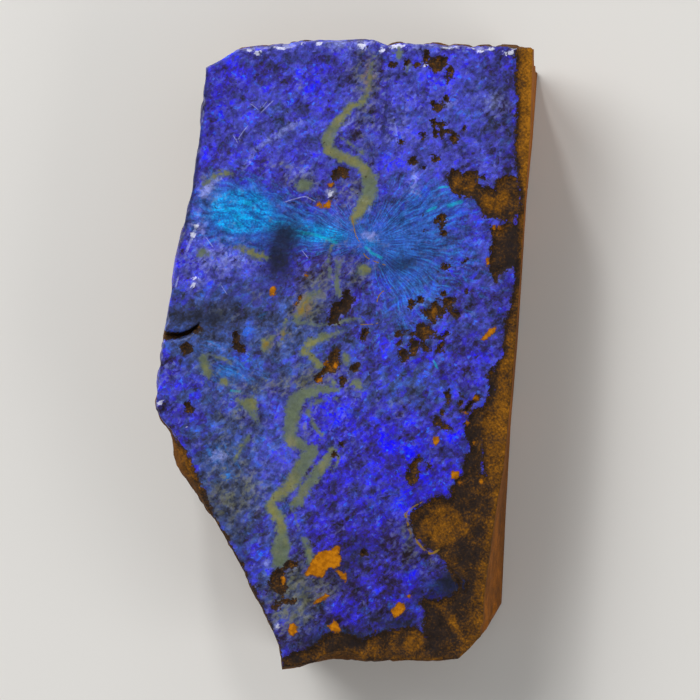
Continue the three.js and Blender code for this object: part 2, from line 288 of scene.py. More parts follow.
GOLD_SPOTS = [
    (302, 307, 13, 15, 0.6), (283, 334, 8, 12, 0.5), (267, 345, 8, 9, 0.5), (369, 78, 10, 30, 0.45),
    (534, 150, 8, 160, 0.4), (523, 110, 10, 80, 0.12), (500, 420, 16, 60, 0.14),
    (345, 655, 32, 6, 0.25), (420, 659, 40, 3, 0.15), (185, 465, 14, 34, 0.3),
    (465, 495, 16, 18, -0.12), (470, 555, 16, 25, -0.14), (437, 632, 14, 18, -0.25),
    (465, 605, 10, 14, -0.16), (470, 440, 9, 30, -0.25), (350, 642, 25, 8, -0.2),
    (492, 385, 6, 24, -0.25), (278, 583, 12, 18, -0.05), (340, 305, 14, 16, -0.2),
    (512, 250, 6, 30, -0.15), (325, 370, 16, 14, 0.1), (510, 260, 12, 14, -0.2),
    (516, 290, 8, 30, -0.1), (300, 662, 20, 10, -0.15),
]
GLOW_SPOTS = [
    (260, 95, 60, 55, 0.04), (440, 110, 60, 50, 0.06), (230, 265, 45, 25, 0.06),
    (180, 315, 28, 20, -0.16), (225, 318, 40, 16, -0.22), (320, 300, 45, 35, -0.14),
    (395, 440, 60, 55, 0.06), (235, 480, 40, 80, -0.12), (272, 455, 22, 36, 0.26),
    (360, 565, 60, 40, -0.16), (300, 590, 40, 40, -0.25), (370, 640, 60, 18, -0.22),
    (362, 90, 22, 60, -0.14), (248, 332, 8, 14, 0.45), (206, 287, 8, 6, 0.35), (312, 85, 9, 9, 0.35),
    (228, 60, 12, 8, 0.3), (245, 155, 10, 8, 0.3), (219, 113, 8, 9, 0.35), (440, 640, 40, 30, -0.25),
    (335, 412, 20, 18, 0.25), (372, 505, 20, 22, 0.15), (345, 612, 16, 14, 0.25),
    (265, 560, 10, 20, 0.2), (390, 440, 10, 10, 0.35), (410, 452, 14, 8, 0.3),
    (500, 90, 22, 50, -0.22), (500, 150, 16, 50, -0.18), (495, 300, 18, 40, -0.12),
    (400, 160, 10, 14, 0.25), (440, 80, 24, 10, 0.2), (412, 575, 8, 10, 0.4), (395, 597, 22, 8, 0.15),
    (410, 65, 14, 6, 0.1), (405, 500, 14, 10, 0.25), (455, 440, 14, 14, 0.25), (425, 478, 8, 14, 0.35),
    (495, 222, 12, 5, 0.3), (280, 620, 8, 6, 0.3), (300, 535, 5, 20, 0.25), (440, 570, 30, 18, -0.12),
    (345, 490, 20, 10, -0.15), (200, 340, 30, 10, -0.12), (235, 500, 20, 30, -0.1),
]
PALE_SPOTS = [
    (270, 120, 90, 70, 0.3), (450, 120, 60, 80, 0.5), (225, 265, 50, 30, 0.5), (270, 400, 40, 40, 0.2),
    (270, 450, 24, 34, 0.6), (390, 450, 70, 70, -0.2), (380, 580, 90, 70, -0.35),
    (250, 75, 40, 20, -0.3), (500, 110, 24, 60, -0.2), (420, 150, 30, 40, 0.2), (300, 45, 60, 12, 0.3),
]
TEAL_SPOTS = [
    (420, 300, 50, 50, 0.5), (226, 440, 48, 90, 0.85), (400, 235, 60, 40, 0.3),
    (250, 325, 70, 40, 0.7), (225, 530, 50, 50, 0.5), (185, 330, 30, 40, 0.7), (320, 350, 60, 40, 0.5),
    (280, 590, 40, 50, 0.4), (215, 200, 30, 30, 0.4), (460, 118, 26, 12, 0.5), (415, 385, 40, 24, 0.6),
    (330, 420, 10, 40, -0.4), (280, 95, 16, 20, 0.25), (285, 120, 24, 24, 0.25),
    (345, 640, 30, 20, -0.3),
]
FAN_SPOTS = [
    (250, 203, 34, 18, 0.95), (226, 211, 30, 28, 0.7), (240, 224, 34, 14, 0.4),
    (300, 225, 46, 18, 0.7), (330, 238, 34, 13, 0.65), (262, 242, 54, 14, 0.3),
    (402, 228, 48, 32, 0.55), (440, 205, 34, 15, 0.45), (400, 270, 26, 26, 0.5),
    (370, 246, 12, 10, 0.4), (234, 372, 24, 12, 0.6), (410, 310, 26, 40, 0.3), (218, 450, 12, 8, 0.4),
    (227, 478, 4, 4, 0.9), (218, 462, 24, 8, 0.3), (450, 260, 44, 40, 0.3), (430, 190, 30, 12, 0.2),
    (210, 345, 24, 6, 0.35),
]
# Dark potch, and painted shade: the strongest spot is painted shade in the round hollow at pixel (280, 258)
DARK_AND_SHADE_SPOTS = [
    (280, 258, 17, 31, 0.95), (296, 232, 22, 14, 0.5), (412, 262, 20, 14, 0.4),
    (394, 266, 20, 9, 0.36), (182, 316, 24, 16, 0.45), (205, 505, 16, 30, 0.4),
    (240, 525, 30, 26, 0.25), (216, 318, 18, 9, 0.6), (430, 570, 40, 20, 0.15),
    (245, 300, 30, 12, 0.4), (340, 172, 16, 12, 0.35), (325, 575, 24, 16, 0.3),
    (335, 305, 20, 18, 0.3), (360, 553, 22, 16, 0.45), (345, 580, 12, 16, 0.3), (305, 592, 8, 10, 0.4),
    (500, 80, 18, 40, 0.25), (508, 150, 8, 40, 0.3), (505, 280, 12, 30, 0.35),
    (420, 410, 24, 14, 0.15), (330, 645, 40, 12, 0.4), (225, 330, 30, 6, 0.25), (365, 405, 16, 8, 0.2),
    (240, 560, 8, 24, 0.35), (456, 586, 26, 12, 0.95), (425, 602, 30, 10, 0.45),
    (345, 638, 40, 11, 0.6), (400, 624, 30, 10, 0.6), (455, 500, 10, 12, 0.4), (466, 448, 8, 26, 0.4),
    (405, 540, 10, 22, 0.3), (478, 405, 12, 12, 0.4),
]
# Painted shade along the rounded left rim, and a thin dark seam line near x = 385
DARK_AND_SHADE_RIBBONS = [
    [(206, 70, 3), (200, 136, 3), (192, 192, 3), (184, 230, 3), (179, 250, 1)],
    [(389, 68, 0.8), (385, 115, 0.8), (382, 145, 0.8), (379, 175, 0.6)],
]
HAZE_SPOTS = [
    (292, 600, 26, 40, 0.9), (306, 308, 14, 18, 0.9), (215, 178, 14, 5, 0.4), (202, 253, 9, 7, 0.5),
    (318, 288, 14, 20, 0.55), (272, 340, 26, 18, 0.45), (240, 408, 26, 26, 0.4),
    (275, 385, 34, 10, 0.5), (367, 78, 15, 34, 0.75), (348, 195, 24, 18, 0.55),
    (225, 500, 30, 40, 0.5), (245, 450, 40, 50, 0.12), (300, 430, 16, 60, 0.35),
    (318, 380, 20, 14, 0.65), (205, 372, 16, 14, 0.45), (362, 272, 14, 12, 0.5),
    (222, 316, 12, 10, 0.5), (280, 165, 20, 6, 0.5), (398, 410, 22, 10, 0.35), (301, 85, 3, 8, 0.6),
    (405, 535, 14, 28, 0.45), (253, 295, 10, 9, 0.5), (340, 270, 20, 30, 0.4),
    (365, 140, 14, 30, 0.35), (300, 182, 22, 14, 0.45), (330, 590, 20, 12, 0.5),
    (255, 490, 20, 20, 0.3), (345, 362, 12, 12, 0.4), (220, 270, 10, 6, 0.3), (355, 385, 14, 10, 0.5),
    (210, 190, 10, 14, 0.3), (430, 545, 24, 26, 0.3), (510, 105, 8, 8, 0.4),
]
# Pale lavender veil of the opal, with painted highlights: the spot on the knob at the fan's focus and the
# small spots round the painted glints
MIST_AND_HIGHLIGHT_SPOTS = [
    (222, 258, 38, 18, 0.5), (494, 103, 11, 11, 0.55), (204, 190, 9, 12, 0.45), (414, 178, 6, 8, 0.55),
    (370, 237, 8, 7, 0.75), (218, 457, 12, 6, 0.65), (340, 45, 16, 7, 0.6), (196, 284, 7, 9, 0.5),
    (300, 172, 14, 7, 0.4), (168, 370, 8, 12, 0.3), (420, 110, 40, 40, 0.16), (460, 170, 30, 20, 0.12),
    (266, 564, 3, 4, 0.8), (277, 626, 3, 4, 0.8), (330, 194, 5, 4, 0.7), (395, 130, 12, 20, 0.25),
    (270, 455, 20, 30, 0.16), (345, 425, 16, 30, 0.18), (200, 225, 8, 14, 0.35), (413, 192, 8, 8, 0.4),
    (430, 48, 60, 5, 0.35), (250, 48, 40, 5, 0.3), (448, 103, 5, 6, 0.3), (385, 555, 10, 10, 0.1),
]
MIST_RIBBONS = [
    [(243, 170, 2), (250, 160, 2.4), (256, 150, 2.2), (262, 145, 2), (272, 138, 3), (283, 132, 3.6),
     (292, 126, 3.6), (300, 121, 2)],
    [(336, 135, 1.6), (342, 128, 2.6), (352, 120, 2.6)],
    [(203, 198, 2), (207, 189, 2.6), (213, 182, 2.4), (222, 178, 1.5)],
    [(205, 342, 0.8), (216, 346, 1.2), (228, 352, 0.8)],
    [(376, 178, 0.8), (374, 195, 1), (369, 210, 0.8)],
]
STREAK_LINES = [
    (0.5, [(262, 112), (267, 107), (272, 102)]),
    (0.35, [(266, 103), (263, 107)]),
    (0.4, [(239, 138), (243, 132), (247, 127)]),
    (0.35, [(234, 137), (237, 142)]),
    (0.5, [(286, 202), (296, 199), (305, 197), (314, 201)]),
    (0.4, [(207, 239), (212, 246)]),
    # A painted glint: this widest line is a white line of light along the left rim
    (1.2, [(197, 226), (193, 236), (190, 243), (187, 250)]),
    (0.35, [(303, 252), (307, 257)]),
    (0.35, [(252, 105), (257, 109)]),
    (0.35, [(222, 287), (226, 293)]),
    (0.8, [(176, 286), (178, 279)]),
]
# Painted glints: white dots of light caught on the rims' chips and the left edge, painted into the colour
PAINTED_GLINT_DOTS = [
    (193, 236, 2.4, 3), (196, 227, 2.4, 2), (195, 278, 2.6, 1.8), (194, 286, 2, 2.4),
    (330, 195, 2.4, 3), (362, 201, 2.6, 1.6), (424, 65, 2, 1.6), (468, 460, 1.5, 1.5),
    (442, 647, 2, 1.6), (186, 427, 1.6, 1.4), (155, 402, 1.6, 3), (160, 403, 3.4, 1.8),
    (163, 341, 1.8, 1.6), (278, 627, 1.8, 2), (250, 50, 2.6, 3.2), (259, 53, 3, 2.4), (281, 47, 8, 3),
    (303, 44, 2.4, 2), (320, 43, 3, 2), (363, 45, 4, 4.4), (383, 51, 3.2, 2), (397, 47, 7, 2),
    (446, 46, 4.4, 2.6), (457, 47, 2.6, 2.2), (474, 47, 2.2, 2.6), (480, 51, 4.2, 2.2),
    (490, 49, 3.2, 2), (511, 53, 6, 2.2), (516, 47, 3.2, 2),
]
SWEEP_LINES = [
    (1.6, [(302, 233), (318, 236), (336, 243)]),
    (1.4, [(366, 248), (372, 253), (381, 258)]),
    (1.8, [(449, 206), (455, 204), (461, 202)]),
    (1.2, [(428, 211), (435, 208)]),
    (1.0, [(440, 188), (447, 187)]),
    (1.2, [(232, 391), (239, 392)]),
    (1.0, [(434, 362), (437, 368)]),
]
# The points that the fan's fibres run out from. The lower one serves the low left of the face.
FAN_FOCUS = np.array([366.0, 243.0])
LOW_FAN_FOCUS = np.array([150.0, 325.0])
LOW_FAN_TOP = 320
LOW_FAN_RIGHT = 300

# The distance, in pixels, past which a mark has no say
FAR = 20.0

# The opal skin's thickness down the flanks: (place along the side, millimetres)
SKIN_BROKEN = [(0, 0.1), (0.3, 0.1), (0.42, 0.35), (0.5, 0.75), (1, 1.0)]
SKIN_CHIPPED = [(0, 1.1), (0.6, 0.9), (0.85, 0.5), (0.95, 0.0), (1, 0.0)]
SKIN_FOOT = 0.05


def smooth_step(value, low, high):
    """0 at low, 1 at high, an S curve between them and level beyond. It falls where low is above high."""
    share = np.clip((value - low) / (high - low), 0, 1)
    return share * share * (3 - 2 * share)


def stops(pairs, place):
    """The value at a place on a straight-line graph of (place, value) stops."""
    places, values = zip(*pairs)
    return np.interp(place, places, values)


def along(line, share):
    """The point at a share of a broken line's length."""
    steps = np.hypot(*np.diff(line, axis=0).T)
    reached = np.concatenate([[0], np.cumsum(steps)]) / steps.sum()
    return np.stack([np.interp(share, reached, line[:, axis]) for axis in (0, 1)], axis=-1)


def curve_through(points, steps=5):
    """A smooth curve through points: each stretch is the cubic whose ends lean along their neighbours."""
    points = np.array(points, float)
    padded = np.vstack([2 * points[0] - points[1], points, 2 * points[-1] - points[-2]])
    before, start, end, after = padded[:-3], padded[1:-2], padded[2:-1], padded[3:]
    share = np.linspace(0, 1, steps, endpoint=False)[:, None, None]
    bend = 2 * before - 5 * start + 4 * end - after
    twist = 3 * start - before - 3 * end + after
    cubic = start + 0.5 * share * (end - before + share * (bend + share * twist))
    return np.vstack([cubic.transpose(1, 0, 2).reshape(-1, 2), points[-1]])


def lattice_noise(points, size, seed):
    """Smooth noise from 0 to 1: random values on a cubic lattice of that size, blended by S curves."""
    lattice = np.random.default_rng(seed).random((32, 32, 32))
    cell = points / size
    whole = np.floor(cell).astype(int)
    share = cell - whole
    share = share * share * (3 - 2 * share)
    total = np.zeros(len(points))
    for corner in np.ndindex(2, 2, 2):
        weight = np.prod(np.where(corner, share, 1 - share), axis=-1)
        x, y, z = ((whole + corner) % 32).T
        total += weight * lattice[x, y, z]
    return total


def creases(points, size, seed):
    """Noise folded at its middle, from 0 to 1, which leaves sharp ridges between rounded hollows."""
    return 1 - np.abs(2 * lattice_noise(points, size, seed) - 1)


def patch_point(s, t):
    """The patch that blends the four sides: ends blended along t, plus sides along s, less the corners."""
    foot = along(FOOT_END, s)
    head = along(CHIPPED_END, s)
    broken = along(BROKEN_SIDE, t)
    sawn = along(SAWN_SIDE, t)
    s = s[:, None]
    t = t[:, None]
    foot_corners = (1 - s) * FOOT_END[0] + s * FOOT_END[-1]
    head_corners = (1 - s) * CHIPPED_END[0] + s * CHIPPED_END[-1]
    corners = (1 - t) * foot_corners + t * head_corners
    return (1 - t) * foot + t * head + (1 - s) * broken + s * sawn - corners


def lumps(points):
    """The broken flanks' lumps: three crossing waves, each folded at its middle."""
    x, y, z = points.T
    leaning = np.abs(np.sin(0.62 * x + 0.5 * y + 0.33 * z + 0.4))
    crossing = np.abs(np.sin(0.7 * x - 0.58 * y + 0.55 * z + 1.9))
    layered = np.abs(np.sin(0.21 * x + 0.17 * y - 0.95 * z + 0.7))
    return 0.38 * leaning + 0.34 * crossing + 0.28 * layered


def face_height(xy):
    """Thickness less a shallow crown along the length, plus round swells and hollows."""
    height = THICKNESS - FACE_CROWN * (xy[:, 1] / MEAN_HALF_LENGTH) ** 2
    for x, y, radius, rise in SWELLS:
        distance = np.hypot(xy[:, 0] / OUTLINE_UNIT - x, xy[:, 1] / OUTLINE_UNIT - y)
        height += rise * np.exp(-((distance / radius) ** 2))
    return height


def broken_grain(points):
    """Fine steps of a broken flank, in millimetres: two sizes of creases and thin layers one on another."""
    layers = lattice_noise(points * [0.25, 0.25, 1.6], 0.7, 31)
    steps = 0.3 * creases(points, 1.3, 21) + 0.12 * creases(points, 0.5, 22) + 0.22 * layers
    return steps - 0.3


def plan(a, b, level):
    """Places seen from above: the patch at a, b from -1 to 1, drawn in by each side's lean and lumps."""
    s = (a + 1) / 2
    t = (b + 1) / 2
    start = patch_point(s, t)
    points = np.column_stack([start, level * face_height(start)])
    below = 1 - smooth_step(level, LUMPS_FADE, 1 - RIM_DEPTH)
    near_rim = 1 - smooth_step(level, 1 - RIM_DEPTH, 1)
    rough = BROKEN_LUMPS * lumps(points) * below + broken_grain(points) * near_rim
    rounded = smooth_step(level, 1 - RIM_DEPTH, 1) ** 2
    drawn_in = UNDERCUT * (1 - level) ** 1.5
    sawn_inset = stops(SAWN_LEAN, t) * level + SAWN_LUMPS * lumps(points) * below
    broken_inset = stops(BROKEN_LEAN, t) * rounded + drawn_in + rough
    side_inset = np.where(a > 0, sawn_inset, broken_inset)
    end_inset = END_LEAN * rounded + drawn_in + rough
    inner_s = (1 + a * (1 - side_inset / MEAN_HALF_WIDTH)) / 2
    inner_t = (1 + b * (1 - end_inset / MEAN_HALF_LENGTH)) / 2
    return patch_point(inner_s, inner_t)


def picture_place(xy):
    """The picture's pixel over a place on the face."""
    return PICTURE_MIDDLE + xy * [1, -1] / PIXEL


def from_edge(place, start, end):
    """A pixel's distance from a straight edge, and the share of the edge's length where it is nearest."""
    step = end - start
    share = np.clip((place - start) @ step / (step @ step), 0, 1)
    return np.hypot(*(place - start - share[:, None] * step).T), share


def shape_inside(place, corners):
    """How far inside a polygon a pixel is, below 0 outside it: the distance from its nearest edge, signed by
    whether a level line from the pixel crosses its edges an odd number of times."""
    corners = np.array(corners, float)
    inside = np.full(len(place), -FAR)
    near = np.all((place > corners.min(axis=0) - FAR) & (place < corners.max(axis=0) + FAR), axis=1)
    point = place[near]
    nearest = np.full(len(point), FAR)
    odd = np.zeros(len(point), bool)
    for start, end in zip(corners, np.roll(corners, -1, axis=0)):
        nearest = np.minimum(nearest, from_edge(point, start, end)[0])
        spans = (start[1] > point[:, 1]) != (end[1] > point[:, 1])
        rise = end[1] - start[1]
        slope = (end[0] - start[0]) / rise if rise else 0.0
        odd ^= spans & (point[:, 0] < start[0] + (point[:, 1] - start[1]) * slope)
    inside[near] = np.where(odd, nearest, -nearest)
    return inside


def dot_inside(place, dot):
    """How far inside an ellipse a pixel is, below 0 outside it."""
    x, y, half_width, half_height = dot
    distance = np.hypot((place[:, 0] - x) / half_width, (place[:, 1] - y) / half_height)
    return np.maximum((1 - distance) * min(half_width, half_height), -FAR)


def ribbon_inside(place, ribbon):
    """How far inside a ribbon a pixel is: the half width there less the distance from its middle line."""
    points = np.array(ribbon, float)
    inside = np.full(len(place), -FAR)
    for start, end in zip(points[:-1], points[1:]):
        distance, share = from_edge(place, start[:2], end[:2])
        inside = np.maximum(inside, start[2] + share * (end[2] - start[2]) - distance)
    return inside


def inside_any(place, shapes=(), dots=(), ribbons=()):
    """How far inside the nearest of several shapes, dots and ribbons a pixel is."""
    depths = [shape_inside(place, shape) for shape in shapes]
    depths += [dot_inside(place, dot) for dot in dots]
    depths += [ribbon_inside(place, ribbon) for ribbon in ribbons]
    return np.max(depths, axis=0)


def lines_across(place, lines):
    """How far across the nearest thin line a pixel is, in half widths with a side's sign, and how near it is.

    The sign changes at the line's middle, so a line thinner than the mesh's spacing still comes out whole.
    """
    nearest = np.full(len(place), FAR)
    across = np.full(len(place), FAR)
    beyond = np.zeros(len(place))
    for half_width, points in lines:
        line = curve_through(points)
        for start, end in zip(line[:-1], line[1:]):
            distance = from_edge(place, start, end)[0]
            closer = distance < nearest
            way = (end - start) / np.hypot(*(end - start))
            offset = place - start
            side = way[0] * offset[:, 1] - way[1] * offset[:, 0]
            past_end = np.sqrt(np.maximum(distance ** 2 - side ** 2, 0))
            nearest = np.where(closer, distance, nearest)
            across = np.where(closer, side / half_width, across)
            beyond = np.where(closer, past_end, beyond)
    return across, smooth_step(nearest, 5, 3) * smooth_step(beyond, 2.5, 0.5)


def soft_spots(place, spots):
    """A sum of round hills: each is its strength at its middle and fades as a bell curve."""
    total = np.zeros(len(place))
    for x, y, half_width, half_height, strength in spots:
        distance = np.hypot((place[:, 0] - x) / half_width, (place[:, 1] - y) / half_height)
        total += strength * np.exp(-(distance ** 2))
    return total


def border_inside(place):
    """How far a pixel is on the sawn side of the line where the face's opal ends."""
    x, y = zip(*BORDER)
    return np.maximum(place[:, 0] - np.interp(place[:, 1], y, x), -FAR)


def face_marks(place):
    """Every mark of the face at those pixels: signed distances in pixels, strengths from 0 to 1."""
    border = border_inside(place)
    streak, streak_near = lines_across(place, STREAK_LINES)
    thread, thread_near = lines_across(place, OCHRE_THREADS)
    sweep, sweep_near = lines_across(place, SWEEP_LINES)
    golden = smooth_step(inside_any(place, GOLD_SHAPES), -2, 3)
    dark_lines = smooth_step(inside_any(place, ribbons=DARK_AND_SHADE_RIBBONS), -1.5, 1.5)
    pale_lines = smooth_step(inside_any(place, ribbons=MIST_RIBBONS), -2.5, 1.5)
    low = (place[:, :1] < LOW_FAN_RIGHT) & (place[:, 1:] > LOW_FAN_TOP)
    offset = place - np.where(low, LOW_FAN_FOCUS, FAN_FOCUS)
    return {
        "iron": np.maximum(border, inside_any(place, IRON_SHAPES, IRON_DOTS, IRON_RIBBONS)),
        "vein": inside_any(place, VEIN_SHAPES, VEIN_DOTS, VEIN_RIBBONS),
        "ochre": inside_any(place, OCHRE_SHAPES, OCHRE_DOTS),
        "streak": streak,
        "streak_near": streak_near,
        "painted_glint": inside_any(place, dots=PAINTED_GLINT_DOTS),
        "thread": thread,
        "thread_near": thread_near,
        "sweep": sweep,
        "sweep_near": sweep_near,
        "glow": 0.5 + soft_spots(place, GLOW_SPOTS),
        "pale": 0.4 + soft_spots(place, PALE_SPOTS),
        "teal": np.clip(soft_spots(place, TEAL_SPOTS), 0, 1),
        "haze": np.clip(soft_spots(place, HAZE_SPOTS), 0, 1),
        "dark_and_shade": np.clip(soft_spots(place, DARK_AND_SHADE_SPOTS) + 0.6 * dark_lines, 0, 1),
        "mist_and_highlight": np.clip(soft_spots(place, MIST_AND_HIGHLIGHT_SPOTS) + 0.42 * pale_lines, 0, 1),
        "gold": 0.34 + soft_spots(place, GOLD_SPOTS) + 0.28 * golden + 0.2 * smooth_step(border, 0, 6),
        "fan": np.clip(soft_spots(place, FAN_SPOTS), 0, 1),
        "angle": np.arctan2(offset[:, 1], np.abs(offset[:, 0])),
        "reach": np.hypot(*offset.T),
    }


def crack_drop(xy):
    """How far the open crack lowers the surface: its depth where a place is inside its tapering ribbon."""
    share = np.linspace(0, 1, len(CRACK))
    inside = np.full(len(xy), -9.0)
    for place in np.linspace(0, 1, 60):
        middle = along(CRACK, place)
        half_width = np.interp(place, share, CRACK_HALF_WIDTHS) * OUTLINE_UNIT
        inside = np.maximum(inside, half_width - np.hypot(*(xy - middle).T))
    return CRACK_DEPTH * smooth_step(inside, -0.08, 0.12)


def relief(xy, marks):
    """Fine relief of the face, in millimetres: soft grain, and ironstone worn lower and rougher."""
    flat = np.column_stack([xy, np.zeros(len(xy))])
    grain = 0.07 * lattice_noise(flat, 3.0, 1) + 0.035 * lattice_noise(flat, 1.2, 2)
    grain += 0.014 * lattice_noise(flat, 0.45, 3)
    iron = smooth_step(marks["iron"], -1.5, 3.0)
    pitted = 0.1 * creases(flat, 0.6, 4) + 0.07 * lattice_noise(flat, 0.3, 5)
    return grain - iron * (0.08 + pitted)


def inward(x, y):
    """The level direction into the stone from a place on its rim: steep powers pick out the nearest side."""
    pull = -np.array([(x / MEAN_HALF_WIDTH) ** 7, (y / MEAN_HALF_LENGTH) ** 7])
    return pull / np.hypot(*pull)


def bite(points, middle, size):
    """Pushes what lies inside an ellipsoid inwards and down, onto the ellipsoid's far wall."""
    radii = size * CHIP_SHAPE
    across = inward(*middle[:2])
    if abs(across[0]) > abs(across[1]):
        radii = radii[[1, 0, 2]]
    push = np.append(across, -0.8)
    place = (points - middle) / radii
    step = push / radii
    ahead = place @ step
    room = (place ** 2).sum(axis=1) - 1
    root = np.sqrt(np.maximum(ahead ** 2 - (step @ step) * room, 0))
    reach = np.where(room < 0, (root - ahead) / (step @ step), 0)
    return points + reach[:, None] * push, reach > 0


def rim_chips():
    """Every bite's middle and size: the large ones by name, and small ones strewn along the broken rims."""
    draw = np.random.default_rng(12)
    large = [(x * OUTLINE_UNIT, y * OUTLINE_UNIT, size * OUTLINE_UNIT) for x, y, size in CHIPS]
    share = draw.random(SMALL_CHIPS)
    sizes = draw.uniform(*SMALL_CHIP_SIZES, SMALL_CHIPS) * OUTLINE_UNIT
    ends = along(CHIPPED_END, share)
    sides = along(BROKEN_SIDE, share)
    feet = along(FOOT_END, share)
    places = np.where((np.arange(SMALL_CHIPS) % 2 == 0)[:, None], ends, sides)
    places = np.where((np.arange(SMALL_CHIPS) % 7 == 0)[:, None], feet, places)
    return large + [(*place, size) for place, size in zip(places, sizes)]


def rim_ring():
    """Grid places round the rim, anticlockwise from the foot's broken corner: column and row of each."""
    across = np.arange(COLUMNS)
    up = np.arange(ROWS)
    columns = np.concatenate([across, np.full(ROWS, COLUMNS), COLUMNS - across, np.zeros(ROWS, int)])
    rows = np.concatenate([np.zeros(COLUMNS, int), up, np.full(COLUMNS, ROWS), ROWS - up])
    return columns, rows


def stone_grid():
    """Each vertex's a, b, level and share of the way to the middle of the back: face, flank, back, pole."""
    a, b = np.meshgrid(np.linspace(-1, 1, COLUMNS + 1), np.linspace(-1, 1, ROWS + 1))
    columns, rows = rim_ring()
    ring_a = 2 * columns / COLUMNS - 1
    ring_b = 2 * rows / ROWS - 1
    levels = 1 - (1 - np.arange(LEVELS) / LEVELS) ** LEVEL_CROWDING
    shrink = np.arange(1, BACK_RINGS + 1) / (BACK_RINGS + 1)
    count = len(ring_a)
    face = np.column_stack([a.ravel(), b.ravel(), np.ones(a.size), np.zeros(a.size)])
    flank = np.column_stack([
        np.tile(ring_a, LEVELS), np.tile(ring_b, LEVELS), np.repeat(levels, count), np.zeros(count * LEVELS),
    ])
    back = np.column_stack([
        np.tile(ring_a, BACK_RINGS), np.tile(ring_b, BACK_RINGS), np.zeros(count * BACK_RINGS),
        np.repeat(shrink, count),
    ])
    return np.vstack([face, flank, back, [[0, 0, 0, 1]]])


def stone_faces():
    """Quads of the face, the flank below its rim and the rings of the back, and the back's middle fan."""
    across, up = np.meshgrid(np.arange(COLUMNS), np.arange(ROWS))
    corner = (up * (COLUMNS + 1) + across).ravel()
    face = np.column_stack([corner, corner + 1, corner + COLUMNS + 2, corner + COLUMNS + 1])
    columns, rows = rim_ring()
    rim = rows * (COLUMNS + 1) + columns
    count = len(rim)
    first = (COLUMNS + 1) * (ROWS + 1)
    flank_rows = [first + level * count + np.arange(count) for level in range(LEVELS)] + [rim]
    back_rows = [flank_rows[0]]
    back_rows += [first + (LEVELS + ring) * count + np.arange(count) for ring in range(BACK_RINGS)]
    pole = first + (LEVELS + BACK_RINGS) * count
    quads = [face]
    quads += [ring_quads(lower, upper) for lower, upper in zip(flank_rows[:-1], flank_rows[1:])]
    quads += [ring_quads(inner, outer) for outer, inner in zip(back_rows[:-1], back_rows[1:])]
    last = back_rows[-1]
    fan = np.column_stack([np.roll(last, -1), last, np.full(count, pole)])
    return np.vstack(quads).tolist() + fan.tolist()


def ring_quads(lower, upper):
    """Quads between two rings, anticlockwise seen from outside."""
    return np.column_stack([lower, np.roll(lower, -1), np.roll(upper, -1), upper])


def skin_thickness(a, b):
    """The opal skin's thickness down the flank: each side's own graph, and none on the sawn side."""
    s = (a + 1) / 2
    t = (b + 1) / 2
    skin = np.where(a < -0.999, stops(SKIN_BROKEN, t), 0.0)
    skin = np.where(b > 0.999, stops(SKIN_CHIPPED, s), skin)
    return np.where(b < -0.999, SKIN_FOOT, skin)


def build_stone():
    """The stone's mesh: plan, height and marks of every vertex, then the bites, all as whole arrays."""
    a, b, level, shrink = stone_grid().T
    xy = plan(a, b, level)
    xy = xy * (1 - shrink[:, None])
    marks = face_marks(picture_place(xy))
    crack = crack_drop(xy)
    height = face_height(xy) + relief(xy, marks) - crack
    points = np.column_stack([xy, level * height])
    fresh = np.zeros(len(points), bool)
    for x, y, size in rim_chips():
        height_there = face_height(np.array([[x, y]]))[0]
        points, hit = bite(points, np.array([x, y, height_there]), size)
        fresh |= hit
    drop = (1 - level) * height
    flank = drop > 1e-6
    below_skin = (drop - skin_thickness(a, b)) / PIXEL
    marks["iron"] = np.where(flank, np.maximum(marks["iron"], np.minimum(below_skin, 40)), marks["iron"])
    marks["iron"] = np.maximum(marks["iron"], 12 * smooth_step(crack, 0.3, 0.8) - 4)
    marks["sawn"] = np.where(flank & (a > 0.999), 1.0, 0.0)
    for name, reach in (("vein", 1.0), ("ochre", 1.0), ("painted_glint", 0.25)):
        marks[name] = np.where(drop > reach, -FAR, marks[name])
    for name in ("streak_near", "thread_near", "sweep_near"):
        marks[name] = np.where(flank, 0.0, marks[name])
    marks["fresh"] = fresh * (0.3 + 0.7 * smooth_step(b, 0.85, 0.97))
    marks["flank"] = smooth_step(drop, 0.05, 0.6)

    low, high = (np.array(corner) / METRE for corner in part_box("boulder_opal"))
    box_middle = (points.min(axis=0) + points.max(axis=0)) / 2
    points[:, :2] += ((low + high) / 2 - box_middle)[:2]
    mesh = bpy.data.meshes.new("boulder_opal_stone")
    mesh.from_pydata((points * METRE).tolist(), [], stone_faces())
    mesh.polygons.foreach_set("use_smooth", np.ones(len(mesh.polygons), bool))
    for name, fields in ATTRIBUTES.items():
        values = np.zeros((len(points), 3), np.float32)
        for column, field in enumerate(fields):
            values[:, column] = marks[field]
        attribute = mesh.attributes.new(name, "FLOAT_VECTOR", "POINT")
        attribute.data.foreach_set("vector", values.ravel())
    mesh.update()
    stone = bpy.data.objects.new("boulder_opal_stone", mesh)
    bpy.context.scene.collection.objects.link(stone)
    return stone


# The third field of the streak group is the painted glints; the painted shade and highlights sit with the
# haze
ATTRIBUTES = {
    "marks": ("iron", "vein", "ochre"),
    "streaks": ("streak", "streak_near", "painted_glint"),
    "threads": ("thread", "thread_near", "fresh"),
    "sweeps": ("sweep", "sweep_near", "gold"),
    "play": ("glow", "pale", "teal"),
    "haze_and_painted_light": ("haze", "dark_and_shade", "mist_and_highlight"),
    "fan": ("fan", "angle", "reach"),
    "sides": ("flank", "sawn"),
}


def tint(red, green, blue):
    """A colour given as it looks on a screen, from 0 to 255, as the linear values that shaders take."""
    screen = np.array([red, green, blue]) / 255
    linear = np.where(screen <= 0.04045, screen / 12.92, ((screen + 0.055) / 1.055) ** 2.4)
    return (*linear.tolist(), 1.0)


